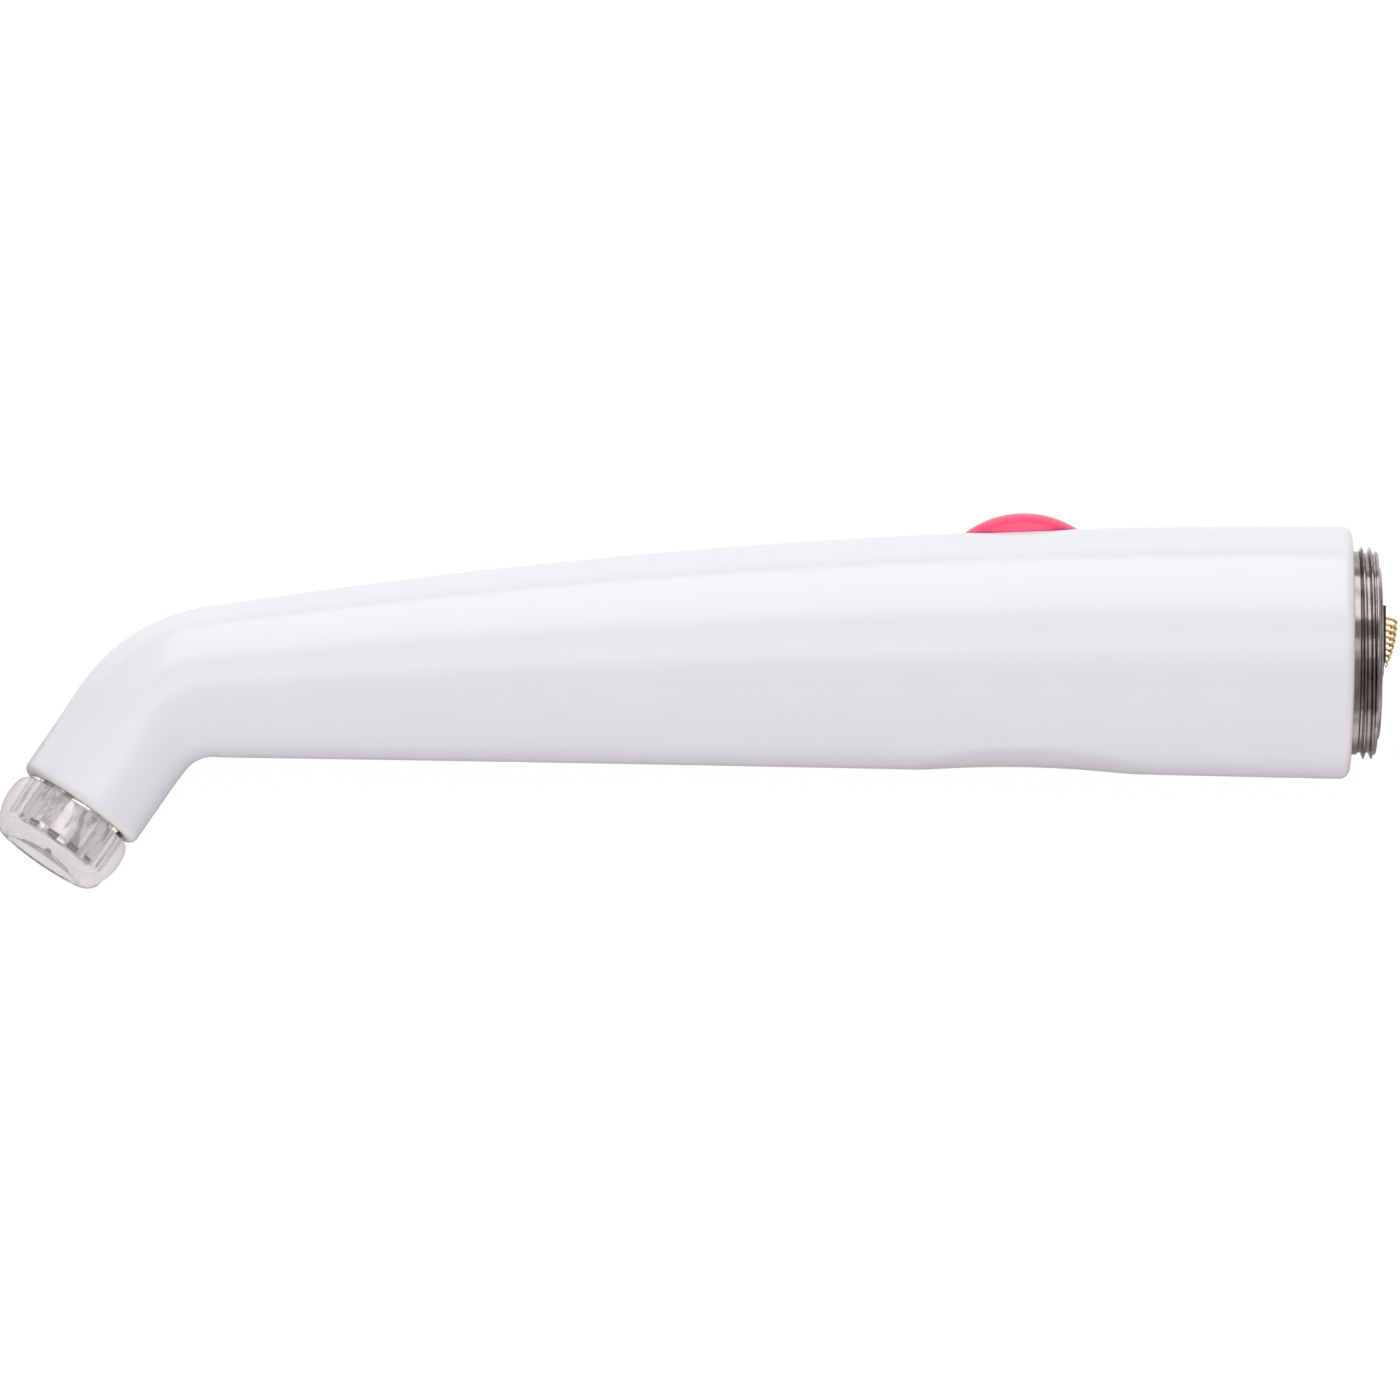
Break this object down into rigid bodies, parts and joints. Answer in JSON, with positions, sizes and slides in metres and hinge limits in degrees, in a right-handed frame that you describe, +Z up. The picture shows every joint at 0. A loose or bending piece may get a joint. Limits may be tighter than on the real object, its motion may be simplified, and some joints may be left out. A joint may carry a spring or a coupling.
{
  "type": "dental curing light front section",
  "caption": "Bent tapered white light attachment with a push button, clear lens cap and threaded metal coupling with spring contacts.",
  "frame": {"origin": "the middle of the coupling thread, on its axis", "axes": "+X along the coupling's axis, out towards the handle; +Y the button's side, the head bending towards -Y; +Z up, the part lying on its side with Z = 0 its middle plane"},
  "size_m": [0.1399, 0.039, 0.0252],
  "materials": {
    "housing_plastic": "gloss white moulded plastic",
    "button_plastic": "pink satin gloss",
    "clear_plastic": "clear polished",
    "lens_glass": "clear polished",
    "nickel": "turned nickel plate",
    "bright_metal": "polished",
    "aluminium": "turned",
    "copper": "drawn copper",
    "gold": "gold plate",
    "black_plastic": "matte",
    "grey_plastic": "satin",
    "pale_plastic": "matte",
    "board_green": "solder mask",
    "seal_rubber": "matte",
    "ferrite": "ground",
    "ceramic": "fired",
    "wire_red": "wire insulation",
    "wire_black": "wire insulation",
    "screw_steel": "zinc plate"
  },
  "bodies": {
    "front_section": {"housing": "housing_plastic", "tact_switch": "black_plastic", "circuit_board": "board_green", "driver_chip": "black_plastic", "control_chip": "black_plastic", "inductor": "ferrite", "capacitor_1": "ceramic", "capacitor_2": "ceramic", "capacitor_3": "ceramic", "resistor_1": "black_plastic", "resistor_2": "black_plastic", "resistor_3": "black_plastic", "resistor_4": "black_plastic", "buzzer": "black_plastic", "lamp_socket": "pale_plastic", "board_carrier": "pale_plastic", "board_screws": "screw_steel", "carrier_screws": "screw_steel", "heat_spreader": "aluminium", "heat_pipe": "copper", "heat_slug": "copper", "light_barrel": "bright_metal", "barrel_seal": "seal_rubber", "lamp_board": "aluminium", "lamp_package": "pale_plastic", "lamp_dome": "clear_plastic", "reflector": "bright_metal", "collimator_lens": "lens_glass", "lens_retainer": "nickel", "lamp_wire_1": "wire_red", "lamp_wire_2": "wire_black", "coupling_ring": "nickel", "ring_seal": "seal_rubber", "contact_carrier": "grey_plastic", "contact_block": "black_plastic", "contact_1": "gold", "contact_2": "gold", "supply_wire_1": "wire_red", "supply_wire_2": "wire_black"},
    "button": {"button": "button_plastic", "switch_plunger": "pale_plastic"},
    "lens_cap": {"lens_cap": "clear_plastic"}
  },
  "joints": [
    {"name": "button_press", "type": "slide", "parent": "front_section", "child": "button", "axis": [0, -1, 0], "range_m": [0, 0.0005], "stiffness_N_per_m": 1500},
    {"name": "lens_cap_pull", "type": "slide", "parent": "front_section", "child": "lens_cap", "axis": [-0.5505, -0.8348, 0], "range_m": [0, 0.014]}
  ]
}
